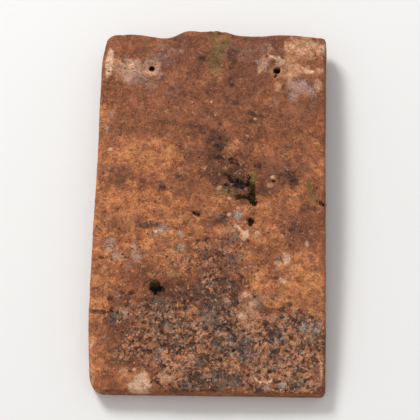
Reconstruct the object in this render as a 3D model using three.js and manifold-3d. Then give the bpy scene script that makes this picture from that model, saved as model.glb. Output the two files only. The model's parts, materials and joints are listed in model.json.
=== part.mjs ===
// Handmade clay plain tile for double-lap roofs: one fired piece with two nibs, two nail holes,
// a camber both ways, a wavy head and worn corners.
//
// The tile is shaped in its own frame: X across, Y from the tail (0) to the head (LENGTH), and Z up from
// the chord of the underside, with the weathered face up. The group then sets it down as it lies on a level
// floor, on its nib feet and its tail, with the origin at the bottom centre of its bounding box.

import * as THREE from "three";
import { mergeVertices } from "three/addons/utils/BufferGeometryUtils.js";
import Module from "manifold-3d";

// ---------- Driving dimensions, in millimetres ----------

// The slab. It narrows towards the head and rises in the middle, along its length and across it.
const LENGTH = 265;
const TAIL_WIDTH = 165;
const HEAD_WIDTH = 161;
const THICKNESS = 13;
const CAMBER = 7;
const CROSS_CAMBER = 1.6;

// Rounded arrises along every edge of the weathered face and of the underside.
const FACE_ARRIS = 2.2;
const UNDER_ARRIS = 1.5;

// Corners in plan. The left ones are worn rounder than the right ones.
const HEAD_LEFT_CORNER = 6;
const HEAD_RIGHT_CORNER = 3;
const TAIL_LEFT_CORNER = 10;
const TAIL_RIGHT_CORNER = 4;

// How far each edge strays outwards from its straight line, in millimetres, at these shares of the way
// along it: from left to right on the head and tail, and from tail to head on the sides.
const HEAD_WAVE = {
  at: [0, 0.15, 0.22, 0.3, 0.37, 0.44, 0.52, 0.6, 0.72, 0.8, 0.9, 1],
  out: [1.4, 2.1, 0.3, -0.3, 4.5, 4.1, 4.5, 1.1, 0.2, 1.1, 0.3, -1.4],
};
const TAIL_WAVE = { at: [0, 0.3, 0.6, 1], out: [-0.6, 0, 0.5, 0.7] };
const LEFT_WAVE = { at: [0, 0.15, 0.4, 0.65, 0.85, 0.93, 1], out: [0, 2.2, 2, 1, 1.3, 0.9, -1.8] };
const RIGHT_WAVE = { at: [0, 0.3, 0.7, 1], out: [0, 0.5, -0.2, 0] };

// The head and tail waves die out this far in from their edge.
const WAVE_REACH = 45;

// Nibs: two lugs under the head that hook over a roofing batten.
const NIB_SPACING = 100;
const NIB_WIDTH = 30;
const NIB_DROP = 11; // from the underside to the foot, at the bearing face
const NIB_FOOT_DEPTH = 8.5; // along the tile
const NIB_BEARING_FROM_HEAD = 15.5;
const NIB_FLANK_ROUND = 2.5;
const NIB_FLANK_DRAFT = 0.12; // share of the width lost from root to foot

// Nail holes: punched square to the face, with the round seat that the punch's shoulder leaves.
const NAIL_HOLES = [
  { across: -46, fromHead: 24.5 },
  { across: 45, fromHead: 27.5 },
];
const HOLE_DIAMETER = 6.5;
const SEAT_DIAMETER = 13;
const SEAT_DEPTH = 0.7;
const SEAT_FLARE = 0.5; // how much wider the seat's rim is than its floor, each side

// ---------- Mesh fineness ----------

const PITCH_ACROSS = 5;
const PITCH_ALONG = 10;
const ARC_STEPS = 5;
const HOLE_SIDES = 32;
const OVERRUN = 4; // how far a cutter or a root runs past the surface that it goes through

const CLAY = new THREE.MeshStandardMaterial({ color: 0x9a6446, roughness: 0.95, metalness: 0 });

// ---------- Small helpers ----------

const { lerp, smoothstep } = THREE.MathUtils;

// A smooth curve through a wave's points, as a function of the share of the way along the edge.
function waveCurve({ at, out }) {
  const curve = new THREE.CubicInterpolant(at, out, 1);
  return (share) => curve.evaluate(share)[0];
}

// How far a round of this radius cuts back, this far in from the edge that it rounds.
function roundOff(radius, inFromEdge) {
  const left = Math.max(radius - inFromEdge, 0);
  return radius - Math.sqrt(radius * radius - left * left);
}

// Grid lines over a span: spaced like a quarter circle's points within `band` of both ends, even between.
function gridLines(span, band, pitch) {
  const quarterTurn = (i) => (i / ARC_STEPS) * (Math.PI / 2);
  const near = Array.from({ length: ARC_STEPS }, (_, i) => band * (1 - Math.cos(quarterTurn(i))));
  const count = Math.ceil((span - 2 * band) / pitch);
  const even = Array.from({ length: count + 1 }, (_, i) => lerp(band, span - band, i / count));
  return [...near, ...even, ...near.map((step) => span - step).reverse()];
}

// ---------- The slab ----------

const headWave = waveCurve(HEAD_WAVE);
const tailWave = waveCurve(TAIL_WAVE);
const leftWave = waveCurve(LEFT_WAVE);
const rightWave = waveCurve(RIGHT_WAVE);

const halfWidth = (along) => lerp(TAIL_WIDTH, HEAD_WIDTH, along / LENGTH) / 2;

// The left and right ends of the row that lies this far along the tile, with the corners rounded off.
function leftEdge(along) {
  const corners = roundOff(TAIL_LEFT_CORNER, along) + roundOff(HEAD_LEFT_CORNER, LENGTH - along);
  return corners - halfWidth(along) - leftWave(along / LENGTH);
}

function rightEdge(along) {
  const corners = roundOff(TAIL_RIGHT_CORNER, along) + roundOff(HEAD_RIGHT_CORNER, LENGTH - along);
  return halfWidth(along) + rightWave(along / LENGTH) - corners;
}

// How far the head and tail waves move a point along the tile.
function waveShift(across, along) {
  const share = (across + halfWidth(along)) / (2 * halfWidth(along));
  const nearHead = smoothstep(along, LENGTH - WAVE_REACH, LENGTH);
  const nearTail = 1 - smoothstep(along, 0, WAVE_REACH);
  return headWave(share) * nearHead - tailWave(share) * nearTail;
}

// The underside's height before its arris: an arch along the tile and a flatter one across it.
function archHeight(across, along) {
  const share = along / LENGTH;
  const side = across / (TAIL_WIDTH / 2);
  return 4 * CAMBER * share * (1 - share) + CROSS_CAMBER * (1 - side * side);
}

// The point of the weathered face or of the underside at a share of the row's width.
function slabPoint(share, along, isFace) {
  const left = leftEdge(along);
  const right = rightEdge(along);
  const across = lerp(left, right, share);
  const inFromEdge = Math.min(across - left, right - across, along, LENGTH - along);
  const lift = isFace ? THICKNESS - roundOff(FACE_ARRIS, inFromEdge) : roundOff(UNDER_ARRIS, inFromEdge);
  return new THREE.Vector3(across, along + waveShift(across, along), archHeight(across, along) + lift);
}

// Two sheets over one grid, joined by a wall round their shared border.
function slabGeometry() {
  const widestCorner = Math.max(HEAD_LEFT_CORNER, HEAD_RIGHT_CORNER, TAIL_LEFT_CORNER, TAIL_RIGHT_CORNER);
  const rows = gridLines(LENGTH, Math.max(widestCorner, FACE_ARRIS), PITCH_ALONG);
  const shares = gridLines(TAIL_WIDTH, FACE_ARRIS, PITCH_ACROSS).map((step) => step / TAIL_WIDTH);
  const perRow = shares.length;
  const perSheet = perRow * rows.length;
  const sheet = (isFace) => rows.flatMap((along) => shares.map((share) => slabPoint(share, along, isFace)));

  const indices = [];
  for (let row = 0; row < rows.length - 1; row++) {
    for (let column = 0; column < perRow - 1; column++) {
      const corner = row * perRow + column;
      const [a, b, c, d] = [corner, corner + 1, corner + perRow + 1, corner + perRow];
      indices.push(a, b, c, a, c, d);
      indices.push(perSheet + a, perSheet + c, perSheet + b, perSheet + a, perSheet + d, perSheet + c);
    }
  }

  const lastRow = perSheet - perRow;
  const border = [
    ...shares.map((_, column) => column),
    ...rows.slice(1).map((_, row) => (row + 2) * perRow - 1),
    ...shares.slice(1).map((_, column) => lastRow + perRow - 2 - column),
    ...rows.slice(1, -1).map((_, row) => lastRow - (row + 1) * perRow),
  ];
  border.forEach((point, i) => {
    const next = border[(i + 1) % border.length];
    indices.push(point, perSheet + point, perSheet + next, point, perSheet + next, next);
  });

  return new THREE.BufferGeometry().setFromPoints([...sheet(true), ...sheet(false)]).setIndex(indices);
}

// ---------- The rest plane ----------

const bearingAlong = LENGTH - NIB_BEARING_FROM_HEAD;
const heelHeight = archHeight(NIB_SPACING / 2, bearingAlong) - NIB_DROP;

// The slope of the floor, seen from the tile, once the tile stands on its nib heels and its tail touches.
function restSlope(slab) {
  const position = slab.getAttribute("position");
  let slope = Infinity;
  for (let i = 0; i < position.count; i++) {
    const reach = bearingAlong - position.getY(i);
    if (reach > LENGTH / 2) slope = Math.min(slope, (position.getZ(i) - heelHeight) / reach);
  }
  return slope;
}

// ---------- The nibs ----------

// A lug whose side profile has an upright bearing face, a foot that lies flat on the floor at rest, and a
// back that leans out to the head. Its flanks are rounded, and narrow towards the foot.
function nibGeometry(centre, slope) {
  const footEnd = bearingAlong + NIB_FOOT_DEPTH;
  const rootEnd = LENGTH + waveShift(centre, LENGTH) - UNDER_ARRIS;
  const rootHeight = archHeight(centre, bearingAlong) + OVERRUN;
  const profile = new THREE.Shape([
    new THREE.Vector2(bearingAlong, rootHeight),
    new THREE.Vector2(bearingAlong, heelHeight),
    new THREE.Vector2(footEnd, heelHeight - slope * NIB_FOOT_DEPTH),
    new THREE.Vector2(rootEnd, archHeight(centre, LENGTH)),
    new THREE.Vector2(rootEnd, rootHeight),
  ]);
  const geometry = new THREE.ExtrudeGeometry(profile, {
    depth: NIB_WIDTH - 2 * NIB_FLANK_ROUND,
    bevelThickness: NIB_FLANK_ROUND,
    bevelSize: NIB_FLANK_ROUND,
    bevelOffset: -NIB_FLANK_ROUND,
    bevelSegments: ARC_STEPS,
  });
  // The profile is drawn along and up the tile, and is swept across it.
  const across = new THREE.Vector3(1, 0, 0);
  const along = new THREE.Vector3(0, 1, 0);
  const up = new THREE.Vector3(0, 0, 1);
  geometry.applyMatrix4(new THREE.Matrix4().makeBasis(along, up, across));
  const position = geometry.getAttribute("position");
  const middle = NIB_WIDTH / 2 - NIB_FLANK_ROUND;
  for (let i = 0; i < position.count; i++) {
    const depth = (rootHeight - position.getZ(i)) / (rootHeight - heelHeight);
    position.setX(i, centre + (position.getX(i) - middle) * (1 - NIB_FLANK_DRAFT * depth));
  }
  return geometry;
}

// ---------- The nail holes ----------

// The face's upward normal, from its slopes along and across the tile.
function faceNormal(across, along) {
  const step = 1;
  const slopeAcross = (archHeight(across + step, along) - archHeight(across - step, along)) / (2 * step);
  const slopeAlong = (archHeight(across, along + step) - archHeight(across, along - step)) / (2 * step);
  return new THREE.Vector3(-slopeAcross, -slopeAlong, 1).normalize();
}

// The shouldered punch, turned about its own axis and set square to the face. Its shank goes right through
// the slab, and its shoulder sinks to the seat's depth.
function punchGeometry({ across, fromHead }) {
  const shank = HOLE_DIAMETER / 2;
  const seat = SEAT_DIAMETER / 2;
  const rim = seat + SEAT_FLARE * (1 + OVERRUN / SEAT_DEPTH);
  const profile = [
    new THREE.Vector2(0, -THICKNESS - OVERRUN),
    new THREE.Vector2(shank, -THICKNESS - OVERRUN),
    new THREE.Vector2(shank, -SEAT_DEPTH),
    new THREE.Vector2(seat, -SEAT_DEPTH),
    new THREE.Vector2(rim, OVERRUN),
    new THREE.Vector2(0, OVERRUN),
  ];
  const geometry = new THREE.LatheGeometry(profile, HOLE_SIDES);
  const along = LENGTH - fromHead;
  const spun = new THREE.Vector3(0, 1, 0);
  const turn = new THREE.Quaternion().setFromUnitVectors(spun, faceNormal(across, along));
  const faceHeight = archHeight(across, along) + THICKNESS;
  const place = new THREE.Vector3(across, along + waveShift(across, along), faceHeight);
  return geometry.applyMatrix4(new THREE.Matrix4().compose(place, turn, new THREE.Vector3(1, 1, 1)));
}

// ---------- Joins and cuts ----------

const wasm = await Module();
wasm.setup();

function solidOf(geometry) {
  const bare = geometry.clone();
  bare.deleteAttribute("normal");
  bare.deleteAttribute("uv");
  const merged = mergeVertices(bare);
  const vertProperties = merged.getAttribute("position").array;
  const triVerts = new Uint32Array(merged.index.array);
  return new wasm.Manifold(new wasm.Mesh({ numProp: 3, vertProperties, triVerts }));
}

function geometryOf(solid) {
  const { vertProperties, triVerts } = solid.getMesh();
  const geometry = new THREE.BufferGeometry();
  geometry.setAttribute("position", new THREE.BufferAttribute(vertProperties, 3));
  geometry.setIndex(new THREE.BufferAttribute(triVerts, 1));
  geometry.computeVertexNormals();
  return geometry;
}

function tileGeometry(slab, slope) {
  let tile = solidOf(slab);
  for (const side of [-1, 1]) tile = tile.add(solidOf(nibGeometry((side * NIB_SPACING) / 2, slope)));
  for (const hole of NAIL_HOLES) tile = tile.subtract(solidOf(punchGeometry(hole)));
  return geometryOf(tile);
}

// ---------- The tile, set down on the floor ----------

const slab = slabGeometry();
const slope = restSlope(slab);
const tile = new THREE.Mesh(tileGeometry(slab, slope), CLAY);
tile.name = "roof_tile";
tile.rotation.x = Math.atan(slope);
tile.updateMatrix();

const footprint = tile.geometry.clone().applyMatrix4(tile.matrix);
footprint.computeBoundingBox();
const { min, max } = footprint.boundingBox;
tile.position.set(-(min.x + max.x) / 2, -(min.y + max.y) / 2, -min.z);

const group = new THREE.Group();
group.add(tile);

export default group;
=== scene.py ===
"""A weathered, handmade plain tile of clay, lying on its nibs and tail on a pale studio floor."""

import json

import bmesh
import bpy
import numpy as np
from mathutils import Matrix, Vector


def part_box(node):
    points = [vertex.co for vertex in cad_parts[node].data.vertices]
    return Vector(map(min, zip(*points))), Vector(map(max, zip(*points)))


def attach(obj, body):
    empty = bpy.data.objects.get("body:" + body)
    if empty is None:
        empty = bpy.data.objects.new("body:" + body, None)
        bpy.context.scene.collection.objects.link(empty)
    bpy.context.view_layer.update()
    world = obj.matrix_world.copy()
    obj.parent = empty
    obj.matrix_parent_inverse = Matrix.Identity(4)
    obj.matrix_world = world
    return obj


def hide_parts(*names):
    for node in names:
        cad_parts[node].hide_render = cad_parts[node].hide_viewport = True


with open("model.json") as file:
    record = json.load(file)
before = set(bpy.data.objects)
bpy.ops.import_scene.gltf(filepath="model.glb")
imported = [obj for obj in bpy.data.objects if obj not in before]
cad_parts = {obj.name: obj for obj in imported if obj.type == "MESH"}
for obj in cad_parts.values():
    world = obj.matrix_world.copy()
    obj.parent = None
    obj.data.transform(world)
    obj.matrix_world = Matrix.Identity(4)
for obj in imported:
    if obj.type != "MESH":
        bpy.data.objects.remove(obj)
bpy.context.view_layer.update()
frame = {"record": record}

# ---------- The tile's sizes, in millimetres ----------

# X runs across the tile, Y along it from the tail (0) to the head, and Z up from the chord of its underside.
MM = 0.001
LENGTH = 265.0
TAIL_WIDTH = 165.0
HEAD_WIDTH = 161.0
THICKNESS = 13.0
CAMBER = 7.0
CROSS_CAMBER = 1.6
# The radii of the rounded edges, and of the corners on the left and on the right.
FACE_ARRIS = 2.2
UNDER_ARRIS = 1.5
HEAD_CORNERS = (6.0, 3.0)
TAIL_CORNERS = (10.0, 4.0)

# How far each edge strays outwards from straight, at these shares of the way along it.
HEAD_WAVE = (
    (0, 0.15, 0.22, 0.3, 0.37, 0.44, 0.52, 0.6, 0.72, 0.8, 0.9, 1),
    (1.4, 2.1, 0.3, -0.3, 4.5, 4.1, 4.5, 1.1, 0.2, 1.1, 0.3, -1.4),
)
TAIL_WAVE = ((0, 0.3, 0.6, 1), (-0.6, 0, 0.5, 0.7))
LEFT_WAVE = ((0, 0.15, 0.4, 0.65, 0.85, 0.93, 1), (0, 2.2, 2, 1, 1.3, 0.9, -1.8))
RIGHT_WAVE = ((0, 0.3, 0.7, 1), (0, 0.5, -0.2, 0))
WAVE_REACH = 45.0

NIB_CENTRES = (-50.0, 50.0)
NIB_WIDTH = 30.0
NIB_DROP = 11.0
NIB_FOOT_DEPTH = 8.5
NIB_BEARING = LENGTH - 15.5
NIB_DRAFT = 0.12
# The power of the squared-off ellipse that is a nib's plan, and how far at most it flares along the tile.
NIB_SQUARENESS = 7.0
NIB_FLARE = 0.6
# A nib's rings at its foot and at its flare, by height as a share of the way to the underside and by how far
# they are drawn in. The rings between them aren't: from, to and how many.
NIB_FOOT_RINGS = ((0.0, 4.0), (0.0, 1.2), (0.03, 0.5), (0.1, 0.1))
NIB_FLARE_RINGS = ((0.8, -0.15), (0.87, -0.5), (0.93, -1.1), (0.98, -2.0), (1.02, -3.2), (1.2, -3.2))
NIB_SIDE_RINGS = (0.2, 0.72, 5)

NAIL_HOLES = ((-46.0, LENGTH - 24.5), (45.0, LENGTH - 27.5))
HOLE_RADIUS = 3.25
# Slurry has dried round the mouths of the holes and narrowed them, the left one most, and more on one side.
# The neck runs from the first to the second of these depths below the seat, and widens out to the third.
MOUTH_RADII = (2.1, 2.65)
MOUTH_SHIFTS = ((0.65, -0.7), (0.6, 0.15))
NECK_DEPTHS = (1.0, 2.0, 4.0)
SEAT_RADIUS = 6.5
SEAT_DEPTH = 0.7
SEAT_ROUND = 0.6
# How the punch runs on past the seat, as steps out and up, and how far it reaches through the underside.
PUNCH_FLARE = ((0.9, 0.4), (1.0, 3.0))
PUNCH_REACH = 4.0

# The grid of the weathered face, how many of its steps one step of the underside spans, and how far inside
# the rounded edge the underside's grid starts.
FACE_PITCH = 0.8
UNDER_EVERY = 4
UNDER_MARGIN = 1.5
# Points over the face's arris, down the wall of the edge, under the lower arris, and round a nib and a punch.
FACE_ARRIS_POINTS, WALL_POINTS, UNDER_ARRIS_POINTS = 5, 9, 4
NIB_POINTS, PUNCH_POINTS = 64, 48
# Edges shorter than this are taken out after the joining and the cutting.
SLIVER = 0.02


# ---------- Small curves ----------


def smooth_step(value, low, high):
    """0 below low, 1 above high, and an S curve between them."""
    t = np.clip((value - low) / (high - low), 0, 1)
    return t * t * (3 - 2 * t)


def wave(at_out, share):
    """A smooth curve through the points (at, out): on each span, the cubic that has the slope of the points'
    own differences at both ends."""
    at, out = (np.asarray(values, float) for values in at_out)
    slope = np.gradient(out, at)
    span = np.clip(np.searchsorted(at, share, side="right") - 1, 0, len(at) - 2)
    width = at[span + 1] - at[span]
    t = (share - at[span]) / width
    start = (1 + 2 * t) * (1 - t) ** 2 * out[span] + t * (1 - t) ** 2 * width * slope[span]
    end = t * t * (3 - 2 * t) * out[span + 1] + t * t * (t - 1) * width * slope[span + 1]
    return start + end


def round_off(radius, in_from_edge):
    """How far a quarter round of this radius cuts back, this far in from the edge that it rounds."""
    left = np.clip(radius - in_from_edge, 0, radius)
    return radius - np.sqrt(radius**2 - left**2)


def full_turn(count):
    """This many angles, evenly spaced round a circle."""
    return np.linspace(0, 2 * np.pi, count, endpoint=False)


def unit(vectors):
    """The vectors' directions, each 1 long."""
    return vectors / np.linalg.norm(vectors, axis=-1, keepdims=True)


# ---------- Repeatable random patterns in space ----------

# The random numbers sit on a cube of cells that repeats for ever. The gain brings lumps up to about 1.
CUBE = 64
LUMP_GAIN = 1.6


def cube_of(seed, channels):
    """Random numbers from 0 to 1 for every cell of the cube."""
    return np.random.default_rng(seed).random((CUBE, CUBE, CUBE, channels))


def look_up(cube, cell):
    """The random numbers of these cells."""
    x, y, z = (cell % CUBE).T
    return cube[x, y, z]


def lumps(points, size, seed):
    """Smooth lumps about size mm wide, from about -1 to 1: a random slope at each corner of a cubic lattice,
    and the eight slopes round a point blended by a quintic curve."""
    slopes = cube_of(seed, 3) * 2 - 1
    scaled = points / size
    cell = np.floor(scaled).astype(int)
    inside = scaled - cell
    blend = inside**3 * (inside * (inside * 6 - 15) + 10)
    total = np.zeros(len(points))
    for corner in np.ndindex(2, 2, 2):
        weight = np.prod(np.where(np.array(corner) == 1, blend, 1 - blend), axis=1)
        total += weight * np.sum(look_up(slopes, cell + corner) * (inside - corner), axis=1)
    return total * LUMP_GAIN


def rough(points, size, octaves, seed):
    """Lumps on lumps: each octave is half as wide and half as high as the one before."""
    return sum(lumps(points, size / 2**octave, seed + 17 * octave) / 2**octave for octave in range(octaves))


def spots(points, size, seed):
    """For each point, its distance in mm to the nearest of the dots strewn one to a cell of size mm, and that
    dot's own random number from 0 to 1."""
    dots = cube_of(seed, 4)
    cell = np.floor(points / size).astype(int)
    nearest = np.full(len(points), np.inf)
    number = np.zeros(len(points))
    for step in np.ndindex(3, 3, 3):
        neighbour = cell + np.array(step) - 1
        dot = look_up(dots, neighbour)
        distance = np.linalg.norm((neighbour + dot[:, :3]) * size - points, axis=1)
        closer = distance < nearest
        nearest = np.where(closer, distance, nearest)
        number = np.where(closer, dot[:, 3], number)
    return nearest, number


# ---------- The plain tile ----------


def half_width(along):
    """Half the tile's width, which changes evenly from the tail to the head."""
    return (TAIL_WIDTH + (HEAD_WIDTH - TAIL_WIDTH) * along / LENGTH) / 2


def wave_shift(across, along):
    """How far the wavy head and tail move a point along the tile."""
    share = np.clip((across + half_width(along)) / (2 * half_width(along)), 0, 1)
    near_head = smooth_step(along, LENGTH - WAVE_REACH, LENGTH)
    near_tail = 1 - smooth_step(along, 0, WAVE_REACH)
    return wave(HEAD_WAVE, share) * near_head - wave(TAIL_WAVE, share) * near_tail


def arch(across, along):
    """The underside's height: a parabola along the tile plus a flatter one across it."""
    share = along / LENGTH
    return 4 * CAMBER * share * (1 - share) + CROSS_CAMBER * (1 - (across / (TAIL_WIDTH / 2)) ** 2)


def grid_rows():
    """Where the grid's rows cross the sides: spaced like a quarter circle's points over each corner, and
    evenly between."""
    corner = max(*HEAD_CORNERS, *TAIL_CORNERS)
    steps = round(corner * np.pi / 2 / FACE_PITCH)
    near = corner * (1 - np.cos(np.linspace(0, np.pi / 2, steps, endpoint=False)))
    even = round((LENGTH - 2 * corner) / FACE_PITCH)
    even += -(even + 2 * steps) % UNDER_EVERY
    return np.concatenate([near, np.linspace(corner, LENGTH - corner, even + 1), LENGTH - near[::-1]])


def plan_grid(inset):
    """The grid's points seen from above: each row runs straight from a point of the left side to one of the
    right side, and both are drawn in, square to the outline, by the inset."""
    rows = grid_rows()
    share = rows / LENGTH
    ends = []
    for side, side_wave in ((-1, LEFT_WAVE), (1, RIGHT_WAVE)):
        tail_corner, head_corner = TAIL_CORNERS[side > 0], HEAD_CORNERS[side > 0]
        cut = round_off(tail_corner, rows) + round_off(head_corner, LENGTH - rows)
        edge = np.stack([side * (half_width(rows) + wave(side_wave, share) - cut), rows], axis=-1)
        direction = unit(np.gradient(edge, axis=0))
        inwards = np.stack([direction[:, 1], -direction[:, 0]], axis=-1) * -side
        inwards[0], inwards[-1] = (0, 1), (0, -1)
        ends.append(edge + inset * inwards)
    columns = round(TAIL_WIDTH / FACE_PITCH / UNDER_EVERY) * UNDER_EVERY + 1
    across = np.linspace(0, 1, columns)[None, :, None]
    return ends[0][:, None] * (1 - across) + ends[1][:, None] * across


def raise_plan(plan, height):
    """Plan points as points of the tile: moved along by the waves, and lifted by the arch and a height."""
    across, along = plan[..., 0], plan[..., 1]
    return np.stack([across, along + wave_shift(across, along), arch(across, along) + height], axis=-1)


def border(grid):
    """The border of a grid as one loop, anticlockwise from the left end of its first row."""
    return np.concatenate([grid[0, :-1], grid[:-1, -1], grid[-1, :0:-1], grid[:0:-1, 0]])


def edge_section():
    """The section of the edge, as pairs of inset and height: a quarter round, a straight wall, and another
    quarter round."""
    over, under = (np.linspace(0, np.pi / 2, count) for count in (FACE_ARRIS_POINTS, UNDER_ARRIS_POINTS))
    top = [(FACE_ARRIS * (1 - np.sin(a)), THICKNESS - FACE_ARRIS * (1 - np.cos(a))) for a in over]
    wall = [(0.0, height) for height in np.linspace(THICKNESS - FACE_ARRIS, UNDER_ARRIS, WALL_POINTS)[1:-1]]
    bottom = [(UNDER_ARRIS * (1 - np.cos(a)), UNDER_ARRIS * (1 - np.sin(a))) for a in under]
    return top[1:] + wall + bottom


def numbered(grid, first=0):
    """The numbers of a grid's points, in the grid's own rows and columns."""
    return first + np.arange(grid[..., 0].size).reshape(grid.shape[:2])


def quads(rows):
    """Quads between neighbouring rows of an index grid, wound as the rows and columns run."""
    a, b, c, d = rows[:-1, :-1], rows[:-1, 1:], rows[1:, 1:], rows[1:, :-1]
    return np.stack([a, b, c, d], axis=-1).reshape(-1, 4)


def closed(loops):
    """Index loops with their first column repeated at the end."""
    return np.concatenate([loops, loops[:, :1]], axis=1)


def fans(fine, coarse):
    """Triangles between a fine loop and a coarse one inside it, seen from below: each fine edge goes to the
    coarse point that is nearest along the loop, and each coarse edge to the fine point halfway along it."""
    every = len(fine) // len(coarse)
    step = np.arange(len(fine))
    nearest = (step + every // 2) // every % len(coarse)
    after = np.roll(nearest, -1)
    edges = np.stack([fine, coarse[after], np.roll(fine, -1)], axis=-1)
    turns = np.stack([fine, coarse[nearest], coarse[after]], axis=-1)[nearest != after]
    return np.concatenate([edges, turns])


def slab_faces():
    """The slab: a fine sheet over the face, the edge's section carried round its border, and a coarse sheet
    under it, all from the one grid."""
    top = raise_plan(plan_grid(FACE_ARRIS), THICKNESS)
    band = [border(raise_plan(plan_grid(inset), height)) for inset, height in edge_section()]
    under = raise_plan(plan_grid(UNDER_ARRIS + UNDER_MARGIN)[::UNDER_EVERY, ::UNDER_EVERY], 0.0)
    points = np.concatenate([top.reshape(-1, 3), *band, under.reshape(-1, 3)])

    top_index = numbered(top)
    under_index = numbered(under, len(points) - under[..., 0].size)
    loops = np.concatenate([border(top_index)[None], numbered(np.stack(band), top_index.size)])
    faces = [quads(top_index), quads(closed(loops))[:, ::-1], quads(under_index)[:, ::-1]]
    return points, [*faces, fans(loops[-1], border(under_index))]


def nib_faces(centre, floor_slope):
    """A nib: squared-off ellipses stacked from the foot to inside the slab. The bearing side stays upright,
    the back leans out to the head, and the last rings flare into the underside."""
    heel = arch(NIB_CENTRES[1], NIB_BEARING) - NIB_DROP
    root = arch(centre, NIB_BEARING)
    sides = [(level, 0.0) for level in np.linspace(*NIB_SIDE_RINGS)]
    level, inset = np.array([*NIB_FOOT_RINGS, *sides, *NIB_FLARE_RINGS]).T[..., None]
    turn = full_turn(NIB_POINTS)
    front = NIB_BEARING
    back = front + NIB_FOOT_DEPTH + (LENGTH - UNDER_ARRIS - front - NIB_FOOT_DEPTH) * np.clip(level, 0, 1)
    half = NIB_WIDTH / 2 * (1 - NIB_DRAFT * (1 - np.clip(level, 0, 1)))
    corner = 2 / NIB_SQUARENESS
    across = centre + (half - inset) * np.sign(np.cos(turn)) * np.abs(np.cos(turn)) ** corner
    middle, reach = (front + back) / 2, (back - front) / 2 - np.maximum(inset, -NIB_FLARE)
    along = middle + reach * np.sign(np.sin(turn)) * np.abs(np.sin(turn)) ** corner
    foot = heel - floor_slope * (along - NIB_BEARING)
    height = foot + (root - foot) * level
    points = np.stack([across, along, height], axis=-1)
    index = numbered(points)
    return points.reshape(-1, 3), [quads(closed(index)), index[:1, ::-1], index[-1:]]


def punch_faces(across, along, mouth, mouth_shift):
    """The nail punch: a profile of shank, narrowed mouth, seat and flare, spun about the face's normal. The
    mouth stands a little off the middle."""
    neck_top, neck_end, shank_top = (-SEAT_DEPTH - depth for depth in NECK_DEPTHS)
    shank = [(HOLE_RADIUS, -THICKNESS - PUNCH_REACH), (HOLE_RADIUS, shank_top)]
    neck = [(mouth, neck_end), (mouth, neck_top), (mouth + SEAT_ROUND, -SEAT_DEPTH)]
    seat = [(SEAT_RADIUS - SEAT_ROUND, -SEAT_DEPTH), (SEAT_RADIUS, -SEAT_DEPTH + SEAT_ROUND / 2)]
    flare = [(SEAT_RADIUS + out, up) for out, up in PUNCH_FLARE]
    profile = np.array([*shank, *neck, *seat, *flare])
    turn = full_turn(PUNCH_POINTS)
    ring = profile[:, None, 0]
    local = np.stack([ring * np.cos(turn), ring * np.sin(turn), profile[:, None, 1] + 0 * turn], axis=-1)
    local[profile[:, 0] < HOLE_RADIUS, :, :2] += mouth_shift
    slope_across = -2 * CROSS_CAMBER * across / (TAIL_WIDTH / 2) ** 2
    slope_along = 4 * CAMBER / LENGTH * (1 - 2 * along / LENGTH)
    normal = unit(np.array([-slope_across, -slope_along, 1.0]))
    side = unit(np.cross([0.0, 1.0, 0.0], normal))
    axes = np.stack([side, np.cross(normal, side), normal])
    place = np.array([across, along + wave_shift(across, along), arch(across, along) + THICKNESS])
    index = numbered(local)
    points = (local @ axes + place).reshape(-1, 3)
    return points, [quads(closed(index)), index[:1, ::-1], index[-1:]]


def mesh_object(name, points, face_groups):
    """An object in millimetres from points and groups of faces that have equally many corners."""
    mesh = bpy.data.meshes.new(name)
    mesh.from_pydata(points.tolist(), [], [face for group in face_groups for face in group.tolist()])
    mesh.validate()
    thing = bpy.data.objects.new(name, mesh)
    bpy.context.scene.collection.objects.link(thing)
    return thing


def mend_joins(mesh):
    """Takes out the slivers that joining and cutting leave, and splits the many-cornered faces there."""
    work = bmesh.new()
    work.from_mesh(mesh)
    bmesh.ops.dissolve_degenerate(work, edges=work.edges, dist=SLIVER)
    bmesh.ops.triangulate(work, faces=[face for face in work.faces if len(face.verts) > 4])
    work.to_mesh(mesh)
    work.free()


def plain_tile(floor_slope):
    """The slab with its nibs joined on and its nail holes cut out."""
    tile = mesh_object("clay_tile", *slab_faces())
    tools = [("UNION", mesh_object("nib", *nib_faces(centre, floor_slope))) for centre in NIB_CENTRES]
    for hole, mouth, mouth_shift in zip(NAIL_HOLES, MOUTH_RADII, MOUTH_SHIFTS):
        tools.append(("DIFFERENCE", mesh_object("punch", *punch_faces(*hole, mouth, mouth_shift))))
    for operation, tool in tools:
        step = tile.modifiers.new(operation, "BOOLEAN")
        step.operation, step.solver, step.object = operation, "MANIFOLD", tool
    shaped = bpy.data.meshes.new_from_object(tile.evaluated_get(bpy.context.evaluated_depsgraph_get()))
    tile.modifiers.clear()
    tile.data = shaped
    mend_joins(shaped)
    for _, tool in tools:
        bpy.data.objects.remove(tool)
    return tile


def rows_of(items, field):
    """A mesh's points or normals, one to a row."""
    values = np.empty(len(items) * 3)
    items.foreach_get(field, values)
    return values.reshape(-1, 3)


def keep_mark(thing, name, values):
    """Keeps a value at each point of a piece, for its material to read."""
    attribute = thing.data.attributes.new(name, "FLOAT", "POINT")
    attribute.data.foreach_set("value", values.astype(np.float32))


# ---------- How the tile lies ----------

bearing = next(m for m in frame["record"]["mounts"] if m["name"] == "left_nib_bearing")
REST_TILT = np.arctan2(-bearing["axis"][2], -bearing["axis"][1])
tile_low, tile_high = (np.array(corner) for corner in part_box("roof_tile"))


def tip(points):
    """Turns points from the tile's own frame to the way it lies, head up by the rest tilt."""
    c, s = np.cos(REST_TILT), np.sin(REST_TILT)
    return points @ np.array([[1, 0, 0], [0, c, s], [0, -s, c]])


tile = plain_tile(np.tan(REST_TILT))
clay = rows_of(tile.data.vertices, "co")
normals = rows_of(tile.data.vertex_normals, "vector")
tipped = tip(clay) * MM
SET_DOWN = (tile_low + tile_high) / 2 - (tipped.min(axis=0) + tipped.max(axis=0)) / 2
SET_DOWN[2] = tile_low[2] - tipped[:, 2].min()


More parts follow.
